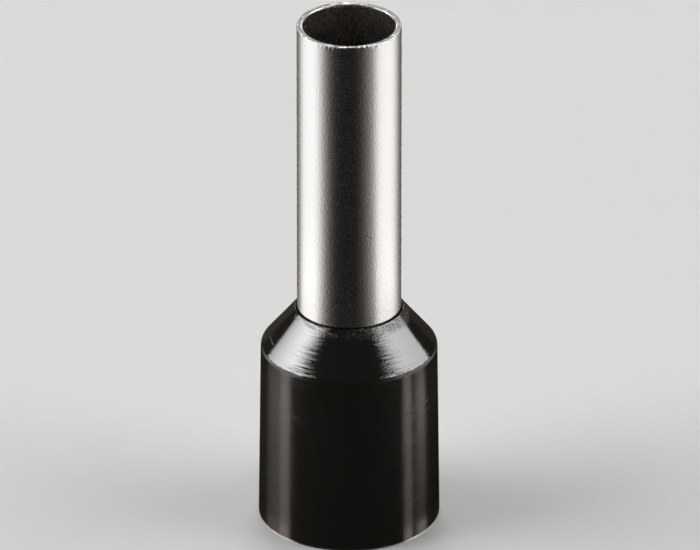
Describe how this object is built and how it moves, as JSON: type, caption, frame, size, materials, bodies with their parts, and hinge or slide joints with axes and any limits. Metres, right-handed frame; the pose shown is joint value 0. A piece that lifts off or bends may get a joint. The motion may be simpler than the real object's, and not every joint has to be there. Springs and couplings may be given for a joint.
{
  "type": "wire ferrule",
  "caption": "Insulated end sleeve for a stranded wire: a plated metal tube, flared inside a black moulded collar that takes the wire's insulation.",
  "frame": {"origin": "centre of the collar's mouth, on the face that the ferrule stands on", "axes": "+Z along the sleeve, from the collar's mouth to the sleeve's tip; X and Y are alike, as the part is turned about Z"},
  "size_m": [0.0066, 0.0066, 0.02],
  "materials": {
    "tin_plating": "satin",
    "collar_plastic": "gloss"
  },
  "bodies": {
    "root": {"metal_sleeve": "tin_plating", "insulating_collar": "collar_plastic"}
  },
  "joints": []
}
